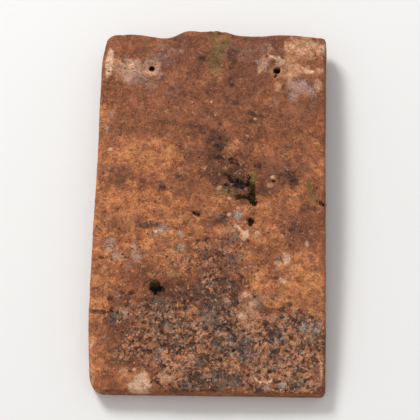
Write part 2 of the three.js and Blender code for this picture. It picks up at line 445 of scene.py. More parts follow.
def in_place(points):
    """Tile millimetres to metres in the frame."""
    return tip(points) * MM + SET_DOWN


# ---------- Where the weather has left its marks ----------

# The sides are more exposed the higher up they are, and face_up is 1 on the face alone.
across, along = clay[:, 0], clay[:, 1]
above_underside = clay[:, 2] - arch(across, along)
exposed = smooth_step(above_underside, 2.0, 9.0)
face_up = smooth_step(normals[:, 2], 0.3, 0.9) * smooth_step(above_underside, 8.0, 11.0)
from_left = across + half_width(along)
from_right = half_width(along) - across


def blot(place, wobble, soft):
    """A patch, its strength inside and 0 outside: an ellipse whose distance wobbles. A place is centre x and
    y, half width, half height, the turn in degrees if there is one, and strength."""
    x, y, half_width_mm, half_height, *turn, strength = place
    angle = np.radians(turn[0] if turn else 0)
    right, up = across - x, along - y
    wide = (right * np.cos(angle) + up * np.sin(angle)) / half_width_mm
    high = (up * np.cos(angle) - right * np.sin(angle)) / half_height
    return strength * (1 - smooth_step(np.hypot(wide, high) + wobble, 1 - soft, 1 + soft))


def blots(places, soft, ragged, grain, seed):
    """The strongest of several patches, with borders roughened by lumps of the grain's size."""
    wobble = ragged * rough(clay, grain, 3, seed)
    return np.max([blot(place, wobble, soft) for place in places], axis=0)


def grooves(chains, seed):
    """Chains of lines, each with a half width and a strength, bent by small lumps and uneven in width."""
    uneven = np.clip(1 + 1.5 * rough(clay, 4.0, 2, seed), 0.4, 2.2)
    bent = clay[:, :2] + 1.3 * np.stack([rough(clay, 6.0, 3, seed + more) for more in (1, 2)], axis=-1)
    marks = []
    for chain, half_width_mm, strength in chains:
        nearest = np.full(len(clay), np.inf)
        for start, end in zip(chain[:-1], chain[1:]):
            line = np.subtract(end, start)
            offset = bent - start
            share = np.clip(offset @ line / (line @ line), 0, 1)
            nearest = np.minimum(nearest, np.linalg.norm(offset - share[:, None] * line, axis=1))
        marks.append(strength * (1 - smooth_step(nearest / uneven, 0.3 * half_width_mm, 1.3 * half_width_mm)))
    return np.max(marks, axis=0)


# Hotter fired clay shows orange; the rest is a browner, smoked red.
orange = blots([
    # The upper band, and the brighter heart of it.
    (-54, 173, 30, 12, 0.8), (-33, 173, 14, 12, -15, 1), (-16, 178, 10, 8, 0.3), (-37, 159, 9, 6, -25, 0.85),
    (15, 181, 5, 5, 0.7), (5, 230, 4, 9, 0.6), (36, 176, 8, 6, 0.45), (76, 162, 7, 22, 0.6),
    (66, 180, 12, 10, 0.25), (-18, 161, 11, 6, 0.5),
    # The middle band.
    (-60, 135, 24, 15, 0.85), (-32, 133, 22, 14, 0.8), (-8, 137, 16, 6, 0.5), (5, 140, 6, 4, 0.9),
    (-30, 121, 18, 6, 0.75), (38, 126, 15, 11, 0.85), (0, 131, 10, 7, 0.5), (70, 152, 9, 13, 0.5),
    (52, 138, 16, 7, 0.65), (10, 115, 12, 5, 15, 1.1), (28, 112, 12, 7, 0.6), (45, 113, 8, 12, 1),
    (-30, 106, 12, 12, 1.4), (-8, 128, 8, 8, 0.6), (-8, 104, 6, 5, 0.8), (-50, 113, 9, 8, 1),
    (-38, 106, 8, 8, 1.2), (-76, 112, 7, 9, 0.9), (-12, 115, 8, 8, 0.8), (25, 97, 8, 7, 0.8),
    (-16, 84, 7, 5, 0.7), (24, 116, 9, 6, 0.8), (70, 196, 5, 6, 0.5),
    # The lower half.
    (-72, 98, 12, 20, 0.7), (-44, 106, 26, 12, 0.7), (-22, 112, 12, 8, 0.6), (-78, 72, 9, 24, 1.1),
    (-60, 88, 18, 9, 0.35), (-30, 88, 12, 7, 0.35), (65, 80, 18, 19, 1.25), (40, 76, 16, 15, -25, 0.95),
    (32, 92, 8, 9, 0.5), (71, 96, 10, 8, 1.2), (76, 62, 8, 9, 1.7), (68, 64, 9, 5, -25, 1.5),
    (45, 66, 11, 7, 1.6), (45, 66, 6, 5, 2.2), (65, 37, 7, 6, 0.4), (-50, 10, 12, 8, 0.6),
    (52, 88, 8, 6, 0.8), (44, 12, 16, 7, 0.9), (37, 29, 7, 9, 0.8), (30, 50, 10, 8, 1), (58, 28, 9, 6, 0.5),
    (-76, 26, 9, 24, 0.7), (-62, 22, 8, 8, 0.3), (58, 18, 20, 13, 0.6), (63, 33, 8, 6, 0.9),
    (18.5, 17.5, 4.4, 5, 1.2), (-25, 22, 12, 8, 0.3),
], soft=0.5, ragged=0.4, grain=18.0, seed=110)
# The left edge is orange too, up to the smoke of the head.
left_edge = (1 - smooth_step(from_left, 3.0, 11.0)) * (1 - smooth_step(along, 200.0, 235.0))
orange = np.maximum(orange, 0.75 * left_edge)

# Smoke in the kiln left the head and some patches a purplish brown.
smoke = blots([
    (-20, 250, 34, 15, 0.9), (27, 250, 27, 16, 1), (16, 226, 26, 16, 0.75), (-20, 226, 26, 13, 0.5),
    (28, 205, 24, 10, 0.6), (65, 211, 14, 8, 0.45), (-8, 198, 14, 12, 0.5), (2, 172, 16, 20, 0.55),
    (-60, 261, 20, 5, 0.4), (-67, 158, 17, 9, 0.25), (-40, 200, 24, 9, 0.3), (52, 157, 18, 8, 0.5),
    (28, 166, 14, 9, 0.4), (61, 117, 13, 13, 0.55), (-22, 72, 28, 14, 0.5), (6, 76, 18, 20, 0.5),
    (-46, 32, 26, 18, 0.6), (46, 42, 12, 9, 0.5), (-46, 146, 14, 4, 0.3),
], soft=0.6, ragged=0.5, grain=16.0, seed=115)

# A film of soot and old algae.
film = blots([
    # The long smear down the middle from the head to the crack.
    (13.5, 243, 3.4, 20, 3, 0.75), (13, 228, 2.6, 5.5, 1.2), (-12, 250, 5, 6, -30, 0.4),
    (-9, 247, 4.4, 2.7, -20, 1.5), (3, 185, 3.6, 7, 25, 1), (5, 178.5, 4.4, 3, 1.25), (1, 183, 9, 10, 0.85),
    (-10, 191, 9, 6, 20, 0.6), (8, 196, 10, 5, 0.35), (12, 185, 3, 6, 0.5), (4, 167, 8, 7, 0.8),
    (0, 155, 12, 8, 0.7), (22, 166, 7, 7, 0.8), (21, 160, 6, 4, 1), (30, 186, 8, 6, 0.5), (8, 121, 5, 4, 0.8),
    (38, 146, 9, 9, 0.8), (29, 140, 7, 6, 1), (10, 216, 6, 5, 0.5), (32, 204, 8, 6, 0.5),
    (18, 154, 15, 7, -20, 0.9), (23, 150, 10, 5, 1.3), (-13, 170, 9, 8, 0.5), (-16, 151, 12, 6, 0.4),
    # The brown band under the upper orange one.
    (-70, 156, 13, 8, 0.4), (-65, 152.5, 6, 2.5, 0.5), (-57, 157, 5, 5, 0.4), (-33, 147.5, 4, 2.2, -15, 1.2),
    (-46, 152, 12, 4, 0.35), (-24, 156.5, 2.5, 1.8, 1), (-78, 147, 3, 4, 0.4),
    # Smears and clusters near the right edge.
    (56, 156, 8, 6, 0.75), (59, 153, 2.6, 3.8, 1.1), (53, 157, 2.8, 3.2, 0.9), (52, 150.5, 2.4, 1.5, 0.9),
    (45, 159, 4, 3, 0.5), (60, 117, 12, 9, 0.4), (62, 103, 9, 6, 0.2), (66, 131.5, 6, 3.5, 20, 0.75),
    (73.5, 132, 2.4, 2.2, 0.9), (59, 118, 5, 4, 0.7), (45, 103, 9, 7, 0.35), (35, 202, 4, 2.2, -20, 1.1),
    (28, 204, 3.4, 1.8, -25, 1.3), (29, 198, 3, 1.6, 0.9), (16, 212, 2.8, 1.8, 0.9), (5, 213, 3, 2.6, 0.6),
    (52, 188, 3.5, 1.8, 0.7), (33, 163.5, 3, 1.8, 0.9), (24, 158.5, 3, 1.8, 0.7), (-27, 215, 2, 2, 0.6),
    (-5, 204, 3, 2, 0.6), (-8, 221, 3, 3, 0.4), (-59, 189, 2.4, 1.4, 0.5),
    # The dark streak and spots across the middle.
    (-46, 119.5, 8, 3, 5, 0.95), (-9.5, 128, 4.5, 2.4, -15, 1), (10, 126.5, 4, 3, 0.8), (-2, 108, 3, 3.6, 1),
    (-14, 113, 3.4, 2.4, 0.7), (-15, 105.5, 2.2, 2, 0.8), (6.5, 133, 3, 1.6, 0.9),
    # The broad dark smear of the lower half.
    (-22, 70, 26, 15, 0.82), (4, 74, 20, 22, 0.85), (-52, 62, 14, 9, -10, 0.5), (-34, 60, 10, 9, 0.85),
    (-30, 51, 14, 7, 0.8), (8, 96, 16, 9, 0.6), (-14, 95, 10, 6, 0.5), (-67, 53, 9, 7, 10, 0.95),
    (-54, 70, 3, 1.8, 1.4), (-69, 67, 2.2, 2, 1.2), (-61, 70, 1.8, 1.8, 1.1), (-62, 88, 3, 4, 0.3),
    (-45, 42, 22, 12, 0.65), (-38, 32, 20, 10, 0.7), (-58, 26, 10, 9, 0.75), (-20, 40, 10, 8, 0.8),
    (4, 66, 9, 15, 1.1), (8, 60, 8, 8, 1), (1, 50, 9, 8, 1.2), (10, 46, 14, 14, 0.7), (12, 32, 9, 8, 0.75),
    (28, 29, 7, 12, 1.1), (4, 18, 14, 8, 0.4), (-2, 7, 24, 8, 1), (47, 41, 10, 7, 0.95), (60, 51, 10, 6, 0.5),
    (46, 36, 3, 2, 0.7), (48, 28, 2.4, 3, 0.6), (66, 15, 2, 2, 0.8), (61, 5.5, 7, 3.4, 1.2),
    (22, 5, 14, 5, 0.6), (66, 18, 5, 7, 0.6), (57, 62, 2.4, 1.8, 0.8), (74, 47, 5, 8, 0.35),
    (73, 20, 4, 7, 0.3), (48, 81.5, 2.4, 1.8, 1), (22.5, 83, 4.4, 2, -50, 1.2), (69, 51, 9, 4, -25, 0.95),
], soft=0.7, ragged=0.6, grain=12.0, seed=120)
# Its smaller patches, most of them on the grit of the lower right.
film = np.maximum(film, blots([
    (47, 42, 5, 6, 1.1), (40, 49, 2.4, 3, 1.2), (62, 51, 3, 3, 1.4), (63, 56, 4, 3.4, 1),
    (53, 58.5, 3, 2.6, 1), (57, 63, 2, 1.6, 1.1), (18, 62, 3.6, 2.2, 1.3), (43, 37, 3.4, 3, 1),
    (53, 35, 3.4, 2.4, 1.2), (48, 30, 2.4, 3.4, 1.2), (44, 24, 3.4, 2.4, 1.1), (52, 24, 3, 2.2, 1),
    (46, 15, 3.4, 2.2, 1.1), (58, 22, 2.6, 2, 1), (66, 15, 2.2, 2.2, 1.3), (19, 38, 3.4, 3, 1.2),
    (27, 37, 3.4, 3, 1), (35, 24, 3, 3, 0.8), (28, 13, 2.4, 2.4, 0.6), (24, 8, 3.4, 3, 1.1),
    (31, 40, 2.6, 2, 1.1), (23, 47, 2.6, 2, 1.1), (70, 32, 4, 2.4, 0.6), (75, 35, 3, 4.4, 0.9),
    (73, 24, 4, 4, 0.8), (10.5, 148.5, 3, 2.2, 1.3), (78, 3, 2.4, 2, 1), (14, 10, 4, 3, 0.9),
    (12, 56, 3.4, 3, 1),
], soft=0.5, ragged=0.6, grain=5.0, seed=121))
film *= smooth_step(from_left, 2.0, 12.0)
film = np.maximum(film, blots([
    (-74, 56.5, 12, 2, 0.9), (-76.5, 96.5, 1.9, 1.7, 1),
], soft=0.6, ragged=0.4, grain=4.0, seed=122))

# Grey where dead algae and lichen have spread.
ash = blots([
    (28, 30, 8, 13, 1.2), (10, 34, 9, 10, 0.9), (3, 52, 10, 10, 1), (-33, 60, 9, 8, 0.7),
    (-34, 52, 9, 6, 0.5), (-64, 52, 6, 7, 0.7), (4, 68, 14, 12, 0.4), (17, 110, 4, 5, 0.9), (12, 7, 18, 8, 1),
    (40, 6, 8, 4, 0.6), (33, 64, 6, 6, 0.8), (48, 20, 10, 8, 0.5), (62, 22, 10, 8, 0.6), (-14, 6, 8, 5, 0.5),
    (58, 47, 12, 6, 0.5), (72, 43, 7, 7, 1), (61, 5.5, 7, 3.4, 1.3), (61, 117, 11, 12, 0.4),
    (27, 27, 5, 6, 1.3), (27, 37, 4, 4, 1), (73, 38, 3, 3, 0.9), (-8, 21, 6, 5, 1.1), (18, 96, 10, 10, 0.5),
    (-20, 69, 8, 6, 0.6), (76, 15, 5, 9, 0.4), (46, 30, 7, 7, 0.4), (-64, 69, 7, 4, 0.5),
    (-16, 49, 5, 4, 0.4), (10, 127, 6, 4, 0.5), (-18, 95, 7, 6, 0.35), (-36, 42, 10, 6, 0.3),
], soft=0.6, ragged=0.6, grain=9.0, seed=125)

# The grit of the lower half, which lay open to the rain.
grit = blots([
    (0, 40, 66, 42, 0.95), (-2, 92, 34, 18, 0.65), (-62, 100, 18, 14, 0.5), (64, 38, 24, 22, 1.05),
    (56, 10, 34, 20, 1), (14, 160, 20, 14, 0.35), (60, 112, 14, 12, 0.3), (-30, 112, 18, 9, 0.5),
    (25, 120, 14, 10, 0.35),
], soft=0.5, ragged=0.5, grain=16.0, seed=130)
grit *= 0.25 + 0.75 * smooth_step(from_left, 4.0, 16.0)
grit *= 1 - 0.75 * blots([
    (64, 80, 18, 19, 1), (44, 77, 14, 11, -20, 0.9), (76, 66, 8, 8, 1), (-30, 107, 11, 11, 0.9),
    (70, 97, 10, 8, 1),
], soft=0.4, ragged=0.4, grain=12.0, seed=131)
grit *= 1 - 0.5 * blots([(-22, 71, 24, 12, 1)], soft=0.5, ragged=0.4, grain=12.0, seed=132)

# Pinker patches where the rain has worn the soot away.
worn = blots([
    (29, 49, 6, 4, 1.1), (33, 54, 4.4, 3, 0.9), (37, 36, 3.4, 3.4, 0.9), (36, 45, 2.4, 2.4, 0.8),
    (44, 52, 2.8, 3.4, 0.9), (54, 55, 2.4, 1.8, 0.9), (56, 41, 3.4, 2.8, 0.9), (62, 37, 4.4, 3, 1),
    (63, 41, 3, 2, 0.8), (45, 32, 3, 2.2, 1), (56, 27, 6, 4, 0.8), (-1, 92, 4, 3, 0.6), (-5, 104, 6, 2, 0.6),
    (64, 26, 3.4, 3.4, 0.9), (68, 29, 2.2, 1.6, 1), (18.5, 17, 2.4, 3, 0.9), (34, 14.5, 4.4, 3, 1.1),
    (58, 11, 4.6, 2.8, 1), (44, 46, 2.4, 2, 0.7), (45, 14, 9, 4.4, 0.9), (51, 19, 5, 3, 0.7),
    (36.5, 28, 4.4, 9, 0.85), (60, 18, 5, 3, 0.7), (76, 7, 4.4, 6, 0.9), (31, 8, 2.4, 2, 0.9),
    (26, 10, 2.4, 1.8, 0.8), (47, 18, 2.4, 1.6, 0.9), (27, 21, 2.6, 2.2, 0.8), (72, 10, 3, 4, 0.6),
    (27, 68, 4, 3, 1), (31, 62, 3, 4, 1), (24, 54, 5, 4, 1.1), (-40, 52, 3, 2.4, 0.5),
    (-17, 55, 4, 3, 0.5), (-4, 58, 3, 2, 0.4), (-25, 47, 3, 2, 0.6), (-28, 10, 6, 4, 0.7),
    (-50, 48, 3, 2.4, 0.6), (-33, 24, 3, 3, 0.5), (-12, 17, 3, 2.4, 0.6), (66, 99, 4, 2.4, 0.6),
    (-30, 97, 4, 3, 0.5), (14, 115.5, 6, 2, 12, 1.1), (23, 121.5, 3.4, 2.4, 0.6), (45, 66, 4.4, 3.4, 0.5),
    (-74, 120.5, 4, 4, 0.4), (-28, 115, 3, 3, 0.9), (-25, 100, 3, 2.4, 0.7), (50, 12, 5, 3, 0.7),
    (60, 33, 4, 3, 0.8), (-38, 28, 4, 3, 0.5),
], soft=0.5, ragged=0.6, grain=5.0, seed=135)

# Pale slurry, and the paler clay of fresh breaks.
buff = blots([
    (-71, 243, 4, 7, 0.5), (-65, 236, 7, 5, 0.45), (-60, 242, 7, 5.5, 0.65), (66, 256, 17, 8, 0.72),
    (55, 239, 7, 11, 0.58), (64, 238.5, 6, 2.6, -5, 0.7), (68.5, 236.5, 4, 1.8, 1),
    (76.5, 237.5, 3, 2.2, 0.75), (75.5, 226, 3, 4.5, 0.58), (46, 226, 2.6, 5.5, 0.6), (53, 229, 4, 3, 0.3),
    (54.5, 94.5, 3.6, 4, 10, 1.05), (49, 92, 3, 2.2, 0.8), (53, 79, 3.6, 2.4, -20, 1.05),
    (46, 76.5, 4, 2, 0.45), (34.5, 82, 1.6, 3.4, 15, 0.8), (26.5, 69, 3, 2.2, 0.9),
    (31.5, 62.5, 3.2, 2.8, -30, 0.85), (24.5, 53.5, 3.6, 3, -15, 1.1), (27, 49, 4, 2.4, 0.45),
    (19.7, 132.5, 1.6, 1.4, 0.8), (-47, 6, 7.6, 9, 4, 1.35), (-50, 2, 6, 4, 1.1),
    (-59, 14, 4.5, 2.6, -15, 0.6), (-28, 9, 5, 3.6, -5, 0.7), (-25, 84, 5, 3, 0.3), (-81.8, 34, 2, 5, 0.9),
    (-81, 14, 2.2, 13, 0.55), (6, 147, 2.4, 2.2, 0.6), (13.4, 139.3, 1.8, 1.6, 0.85),
    (42, 144, 1.8, 1.6, 0.5), (42.3, 149.2, 2.2, 1.6, 0.65),
], soft=0.45, ragged=0.45, grain=6.0, seed=140)
buff = np.maximum(buff, blots([
    (-76.4, 245, 2.8, 12, -3, 1.35), (78.2, 25, 0.9, 6, 20, 0.8), (80.2, 14, 1.1, 8, 0.9),
], soft=0.5, ragged=0.15, grain=6.0, seed=141))
# The patch at the right of the head ends at a straight line, where the next tile lay over it.
under_next = (1 - smooth_step(across, 49.5, 51.0)) * (across > 0) * (along > 246)
buff *= 1 - under_next
streaks = grooves([
    (((33, 236), (35, 243), (36, 249)), 2.4, 0.6), (((40.5, 248.5), (44.5, 247.5), (48.5, 243.5)), 2.8, 1.1),
    (((42, 238), (42.3, 233)), 1, 0.6), (((33, 10.5), (37, 6.8), (45, 7)), 1.2, 1.1),
    (((20.5, 118.5), (26, 111.5)), 2.6, 1.2), (((-51, 241), (-52, 236)), 1.2, 0.4),
], seed=145)
buff = np.maximum(buff, streaks)
buff = np.maximum(buff, blots([
    (-1, 213, 1.3, 1.2, 0.8), (56.5, 256.5, 1.8, 1.4, 1.2), (77, 253, 2.2, 1.4, 0.8),
    (-51, 15.6, 1.4, 1.1, 1.3), (-73, 177, 1.7, 1.6, 1.1), (31, 199.6, 1.8, 0.9, -20, 0.8),
    (43.8, 155.2, 1.4, 1.3, 1), (13.7, 127.3, 1.8, 1.4, 1), (72, 184, 1.2, 1.4, 0.7),
    (-60, 241.5, 3.8, 2.8, 10, 1.05), (-67, 243.2, 2.6, 1.5, 0.7), (34, 113, 2.8, 2.4, 20, 0.85),
    (-23, 190.3, 1.8, 1.1, 0.55), (-33, 206, 1.6, 2.4, -20, 0.4), (-41, 40, 1.3, 1.3, 0.7),
    (-30, 53.5, 1.1, 2.2, 0.5), (-75, 88, 2.4, 2.6, 0.4), (17, 26.4, 1.3, 1, 0.7), (53.5, 5.5, 2, 1.8, 0.9),
    (69, 106, 1.6, 2.6, 0.9), (60, 35, 2, 1.5, 0.5), (52, 27, 1.5, 1.2, 0.6), (10, 56, 1.6, 1.2, 0.5),
    (-13, 55, 2.6, 2, 0.35), (5, 69, 1.4, 1.2, 0.45), (-71, 104, 2.4, 4.4, 10, 0.6),
    (-68.5, 109, 2.4, 1.8, 0.6), (-66, 97, 3.2, 2.4, 0.5), (-53.5, 104.5, 2, 2.4, 0.65),
    (-52, 97.5, 2.2, 3.6, 10, 0.6), (-36, 114, 4, 2.8, 0.85), (-25, 100, 2.4, 2, 0.6),
    (-28, 115.5, 1.8, 2.4, 10, 0.6), (28, 61, 5, 3, 0.4), (72, 42, 3, 3, 0.4),
], soft=0.5, ragged=0.3, grain=4.0, seed=150))
# A ring of slurry round each nail hole: where it starts to thin out, over how far, and how strong it is.
RING_RADIUS = 4.4
RING_FADES = (4.0, 1.8)
RING_STRENGTHS = (0.75, 0.6)
for (hole_across, hole_along), fade, strength in zip(NAIL_HOLES, RING_FADES, RING_STRENGTHS):
    from_hole = np.hypot(across - hole_across, along - hole_along)
    ring = 1 - smooth_step(from_hole, RING_RADIUS, RING_RADIUS + fade)
    buff = np.maximum(buff, strength * ring * (1 + 0.3 * rough(clay, 5.0, 2, 155)))
grit *= 1 - 0.8 * np.clip(buff, 0, 1)

# A lilac-grey bloom of salts: a veil over the head, and streaks and clusters of it.
lilac = blots([
    (-36, 253, 16, 9, 0.5), (-60, 240, 9, 8, 1.4), (-54, 232, 10, 4.5, 0.9), (-45, 239, 9, 8, 1),
    (-30, 225, 10, 8, 0.4), (-46, 226, 8, 5, 0.5), (-39.5, 251, 3, 3, 0.5), (28, 254, 18, 8, 0.5),
    (40.5, 256, 1.8, 6, -5, 0.6), (35, 243, 5, 7, 0.9), (56, 227, 5, 4, 30, 1), (65, 226, 4, 3.6, 20, 1.3),
    (57, 219, 2.4, 5, -35, 1), (70, 220, 4, 4, 1), (63, 224, 12, 8, 0.95), (46, 214, 3, 5, 20, 0.45),
    (62, 208, 12, 6, 0.3), (64, 240, 8, 4, 0.4), (76, 238, 3, 3, 0.4), (-72, 205, 2.4, 5, 0.6),
    (-76.5, 194, 2, 2, 0.8), (-43, 200, 3, 2, 0.5), (-52, 210, 2, 1.6, 0.4), (-58, 198, 3, 2, 0.35),
    (55, 168, 16, 12, 0.2), (-66, 163, 12, 5, 0.25), (-71, 104, 3.6, 5.6, 10, 1.1), (-69, 109, 3, 2.4, 0.9),
    (-66, 97, 4.4, 3.2, 1), (-53.5, 104.5, 3, 3.4, 1), (-52, 98, 3.2, 4.6, 10, 1.2),
    (-35, 115.5, 4.6, 4, 1.1), (-20, 113, 3.4, 2.8, 1), (-20, 103.5, 3, 2.8, 1.1), (-26, 100, 2.2, 1.8, 0.6),
    (-39, 121.5, 2, 2, 0.5), (-57, 89, 4, 3, 0.5), (22, 155.5, 2.6, 1.6, 0.8), (53, 94, 5, 5, 0.4),
    (25, 62, 7, 7, 0.4), (20, 95, 8, 7, 0.3), (30, 58, 5, 3, 0.5), (-15, 48, 3, 2, 0.6), (-35, 64, 3, 3, 0.4),
    (48, 87, 1.4, 1.8, 0.7), (35, 68, 3, 3, 0.4), (27, 116, 3, 3, 0.3), (2, 78, 14, 9, 0.2),
], soft=0.6, ragged=0.6, grain=6.0, seed=160)

# Living algae, green, in the damp spots.
green = blots([
    (1, 253, 6, 20, 2, 1), (7, 261, 4.5, 6, 0.8), (30.5, 153, 3, 6, 0.5), (13, 143.5, 7, 3.4, -8, 1),
    (10, 145, 3, 2.2, 1.3), (70.5, 147, 2, 5, 8, 1.2), (74, 140, 2, 3, 0.9), (78, 137, 3, 2.4, 0.7),
    (-58, 122.5, 16, 3, 2, 0.5), (-44, 121, 6, 2.4, 0.2), (-64, 57, 4, 4, 0.5), (5, 96, 8, 5, 0.15),
    (-66, 130, 10, 6, 0.2),
], soft=0.6, ragged=0.45, grain=7.0, seed=170)

# Hollows, which the last covering paints near black: pits where lime or grit blew out, and cracks between
# folds of clay.
pits = blots([
    (29.5, 122, 2.6, 2.4, 1.1), (28.4, 123.4, 1.4, 1.2, 1), (19, 29.2, 1.4, 1.2, 0.8),
    (-9.5, 127.8, 4, 1.3, -28, 0.7), (-9.3, 246.8, 2.4, 1.3, -15, 0.5), (45.2, 152.6, 1.6, 1.2, 0.7),
    (-33, 147.3, 2.2, 1.1, -15, 0.4), (44.3, 233.2, 1.2, 2, -25, 0.9), (6, 185, 1.4, 1.6, 20, 0.55),
    (3, 179, 2, 1.4, 0.6), (11, 183, 1, 1.4, 0.5), (1, 190, 1.6, 1, 0.4), (11, 149.2, 1.6, 1.1, 0.8),
    (22, 149.4, 6.4, 2.6, -4, 0.8), (58.6, 152, 1.4, 1.6, 0.4), (54, 156.5, 1.2, 1.2, 0.35),
    (-2, 108, 1.8, 1.8, 0.4), (-54, 70, 1.8, 1, 0.4), (60, 51, 1.6, 1.2, 0.4), (66.5, 15, 1.3, 1.2, 0.4),
    (18, 62.5, 1.8, 1, 0.4),
], soft=0.4, ragged=0.4, grain=3.0, seed=180)
cracks = grooves([
    (((9, 158.2), (12.5, 155), (16, 152.4), (24, 150.6), (28.5, 150)), 1.7, 0.9),
    (((28.5, 150), (30, 144), (31.5, 137)), 2, 0.45), (((20, 140), (31, 138)), 1.5, 0.55),
    (((14, 169), (20, 165)), 1.5, 0.75), (((3, 170.5), (8, 170)), 1.3, 0.65),
    (((32, 164), (36, 163.3)), 1.2, 0.5), (((-83, 57.5), (-75, 57), (-65, 56)), 1.3, 0.45),
    (((13, 232), (12.8, 225)), 1.3, 0.3),
], seed=190)
hollows = np.maximum(pits, cracks)
# Pinholes, few of them wide.
pin_distance, pin_number = spots(clay, 8.0, 500)
pin_radius = 0.4 + pin_number**3
pins = (1 - smooth_step(pin_distance, 0.3 * pin_radius, 1.3 * pin_radius)) * (pin_number > 0.35)

# Crusts of lichen, which stand a little proud: small ones strewn over the grit, and larger ones.
crust_distance, crust_number = spots(clay, 7.0, 600)
crust_radius = 0.7 + 2.2 * crust_number**2 + 0.6 * rough(clay, 2.5, 2, 610)
crusts = 1 - smooth_step(crust_distance, 0.6 * crust_radius, 1.2 * crust_radius)
crusts *= smooth_step(grit, 0.3, 1.2)
crusts = np.maximum(crusts, blots([
    (19.8, 126.7, 3.2, 3.2, 1), (53.5, 5.5, 2.4, 2, 0.9), (66, 7.5, 2.6, 2, 0.6), (27, 36, 2.8, 2.6, 0.7),
    (28, 27, 2.6, 4.5, 10, 0.5), (68, 45, 3.4, 2.6, 0.6), (76, 43, 2.4, 3.4, 0.7),
    (72.5, 37.5, 2.2, 1.8, 0.85), (-72, 38, 1.8, 2.2, 0.6), (-7, 22, 2.8, 2.6, 0.5), (-14, 6, 2.2, 1.8, 0.4),
    (-64, 68, 1.8, 2.4, 0.5), (-20, 103.5, 2.4, 2.2, 0.75), (-20, 113, 2.4, 2, 0.7), (14, 79, 1.8, 1.8, 0.6),
    (24, 95, 2.4, 2.2, 0.55), (11, 91, 2, 2.4, 0.45), (-17, 34, 2.2, 1.6, 0.3), (-35, 115.5, 2.6, 2.2, 0.65),
    (-52, 97.5, 1.6, 2.6, 0.5), (-71, 104, 1.8, 3.2, 0.55), (-68.5, 109, 2, 1.6, 0.5),
    (-53.5, 104.5, 1.6, 1.8, 0.5), (69, 56, 2, 1.5, 0.4),
], soft=0.5, ragged=0.8, grain=4.0, seed=620))

# ---------- Relief ----------

# All over: broad waves, the folds of the clay and its sand, as height, width, octaves and seed.
FOLDS = ((0.3, 70.0, 2, 11), (0.2, 12.0, 3, 23), (0.09, 2.4, 2, 31))
# On the face: what stands up and what sinks in, and how dark pinholes are painted against the other hollows.
CRUST_HEIGHT = 0.25
HOLLOW_DEPTH = 2.3
PIN_DEPTH = 0.5
PIN_DARKNESS = 0.5
# Along the edges: how much is gone in the old chips and in the fresh breaks, and how far in they reach.
CHIP_DEPTH = 0.9
BREAK_DEPTH = 0.4
EDGE_REACH = 2.0
# The relief fades out this close to the floor, so that the tile still lies on its nibs and its tail.
FLOOR_FADE = 2.0

relief = sum(height * rough(clay, width, octaves, seed) for height, width, octaves, seed in FOLDS)
gritty = (0.1 + 0.25 * grit) * rough(clay, 3.6, 3, 91)
relief += face_up * (CRUST_HEIGHT * crusts - HOLLOW_DEPTH * hollows**1.5 - PIN_DEPTH * pins + gritty)
from_side = np.minimum(np.minimum(from_left, from_right), np.minimum(along, LENGTH - along))
chipped = smooth_step(rough(clay, 11.0, 3, 71), 0.3, 0.8) * smooth_step(above_underside, 10.0, 12.5)
relief -= np.exp(-from_side / EDGE_REACH) * (CHIP_DEPTH * chipped + BREAK_DEPTH * buff * exposed)
off_floor = smooth_step(in_place(clay)[:, 2], 0.0, FLOOR_FADE * MM)
weathered = in_place(clay + normals * (relief * off_floor)[:, None])
tile.data.vertices.foreach_set("co", weathered.astype(np.float32).ravel())
tile.data.update()
tile.data.shade_smooth()

marks = {
    "orange": orange * exposed, "smoke": smoke * exposed, "film": film * face_up, "ash": ash * face_up,
    "grit": grit * face_up, "worn": worn * face_up, "buff": buff * exposed, "lilac": lilac * face_up,
    "green": green * exposed, "hollow": np.maximum(hollows, PIN_DARKNESS * pins) * face_up,
    "crust": crusts * face_up, "exposed": exposed,
}
for name, values in marks.items():
    keep_mark(tile, name, values)

# ---------- Materials ----------


def linear(hex_colour):
    """A sRGB hex colour as linear RGBA."""
    channels = [int(hex_colour[i : i + 2], 16) / 255 for i in (1, 3, 5)]
    return [*(c / 12.92 if c <= 0.04045 else ((c + 0.055) / 1.055) ** 2.4 for c in channels), 1.0]


def new_material(name):
    """A material with no nodes yet."""
    material = bpy.data.materials.new(name)
    material.use_nodes = True
    material.node_tree.nodes.clear()
    return material


def add(material, kind, settings=None, *values, **inputs):
    """Adds a node of a kind, with settings of its own, and returns its outputs. Values go to its sockets in
    order, and inputs by name (spaces as _) or number (_6). A value that is an output is linked in."""
    node = material.node_tree.nodes.new("ShaderNode" + kind)
    for key, value in (settings or {}).items():
        setattr(node, key, value)
    inputs |= {f"_{number}": value for number, value in enumerate(values)}
    for key, value in inputs.items():
        socket = node.inputs[int(key[1:]) if key[0] == "_" else key.replace("_", " ")]
        if isinstance(value, bpy.types.NodeSocket):
            material.node_tree.links.new(value, socket)
        else:
            socket.default_value = value
    return node.outputs


# Settings of nodes: the first value times the second, plus the third; 0 below a range and 1 above it, with an
# S curve between; and the colours of sockets 6 and 7 mixed by the share in socket 0, as output 2.
SUM = {"operation": "MULTIPLY_ADD"}
RAMP = {"interpolation_type": "SMOOTHSTEP"}
BLEND = {"data_type": "RGBA"}

# Cloudy patterns of these widths in mm are bent a little, so that none of their borders runs straight.
BENT_SIZES = (4.0, 8.0)
BEND = 0.7


def clouds(material, place, size, detail=4.0):
    """A cloudy pattern about size mm wide, mostly between -1 and 1."""
    bend = BEND if BENT_SIZES[0] <= size <= BENT_SIZES[1] else 0
    shape = {"Scale": 1 / (size * MM), "Detail": detail, "Roughness": 0.6, "Distortion": bend}
    noise = add(material, "TexNoise", Vector=place, **shape)
    return add(material, "MapRange", {"clamp": False}, noise[0], 0.3, 0.7, -1.0, 1.0)[0]


def surface(thing, material, **looks):
    """Gives a piece this material, with these looks of its surface."""
    add(material, "OutputMaterial", Surface=add(material, "BsdfPrincipled", **looks)[0])
    thing.data.materials.clear()
    thing.data.materials.append(material)


